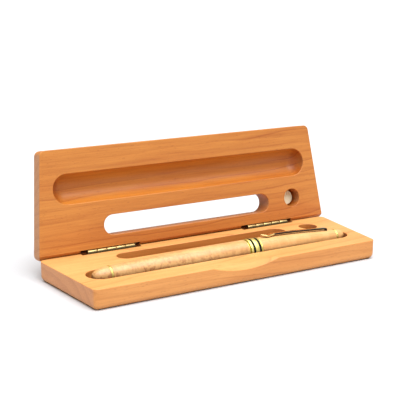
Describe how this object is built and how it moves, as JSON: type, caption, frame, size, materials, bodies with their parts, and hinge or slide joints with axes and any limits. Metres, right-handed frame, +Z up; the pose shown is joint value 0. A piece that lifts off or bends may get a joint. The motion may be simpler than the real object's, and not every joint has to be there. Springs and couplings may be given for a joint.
{
  "type": "fountain pen case",
  "caption": "Hinged wooden case with round-bottomed grooves, a slot and a round recess in each half, holding a capped wooden fountain pen.",
  "frame": {"origin": "centre of the base's flat underside, halfway between its ends and between its front and rear faces", "axes": "+Z up, +X along the case towards the end with the round recess, +Y to the rear, where the hinges are"},
  "size_m": [0.1774, 0.0743, 0.0646],
  "materials": {
    "case_wood": "oiled, satin",
    "hinge_brass": "polished",
    "pen_wood": "turned and lacquered",
    "plug_wood": "end grain, sanded",
    "tube_brass": "drawn",
    "gold_plate": "gold plated, polished",
    "nib_gold": "gold plated steel, polished",
    "black_enamel": "gloss black",
    "black_plastic": "gloss",
    "inner_cap_plastic": "matt",
    "cartridge_plastic": "smooth",
    "screw_steel": "bright"
  },
  "bodies": {
    "base": {"base_body": "case_wood", "hinge_left_base_leaf": "hinge_brass", "hinge_left_pin": "hinge_brass", "hinge_right_base_leaf": "hinge_brass", "hinge_right_pin": "hinge_brass"},
    "lid": {"lid_body": "case_wood", "lid_round_plug": "plug_wood", "hinge_left_lid_leaf": "hinge_brass", "hinge_right_lid_leaf": "hinge_brass"},
    "pen": {"pen_barrel_wood": "pen_wood", "pen_barrel_liner": "tube_brass", "pen_barrel_end_ring": "gold_plate", "pen_barrel_finial": "pen_wood", "pen_barrel_coupler": "gold_plate", "pen_grip_section": "black_plastic", "pen_nib": "nib_gold", "pen_feed": "black_plastic", "pen_ink_cartridge": "cartridge_plastic", "pen_cap_wood": "pen_wood", "pen_cap_liner": "tube_brass", "pen_centre_band": "gold_plate", "pen_band_black_rings": "black_enamel", "pen_inner_cap": "inner_cap_plastic", "pen_clip": "gold_plate", "pen_cap_end_ring": "gold_plate", "pen_cap_finial": "pen_wood", "pen_cap_finial_screw": "screw_steel"}
  },
  "joints": [
    {"name": "lid_hinge", "type": "hinge", "parent": "base", "child": "lid", "pos_m": [0, 0.0268, 0.01063], "axis": [1, 0, 0], "range_deg": [0, 100]},
    {"name": "pen_lift", "type": "slide", "parent": "base", "child": "pen", "axis": [0, 0, 1], "range_m": [0, 0.06]}
  ]
}
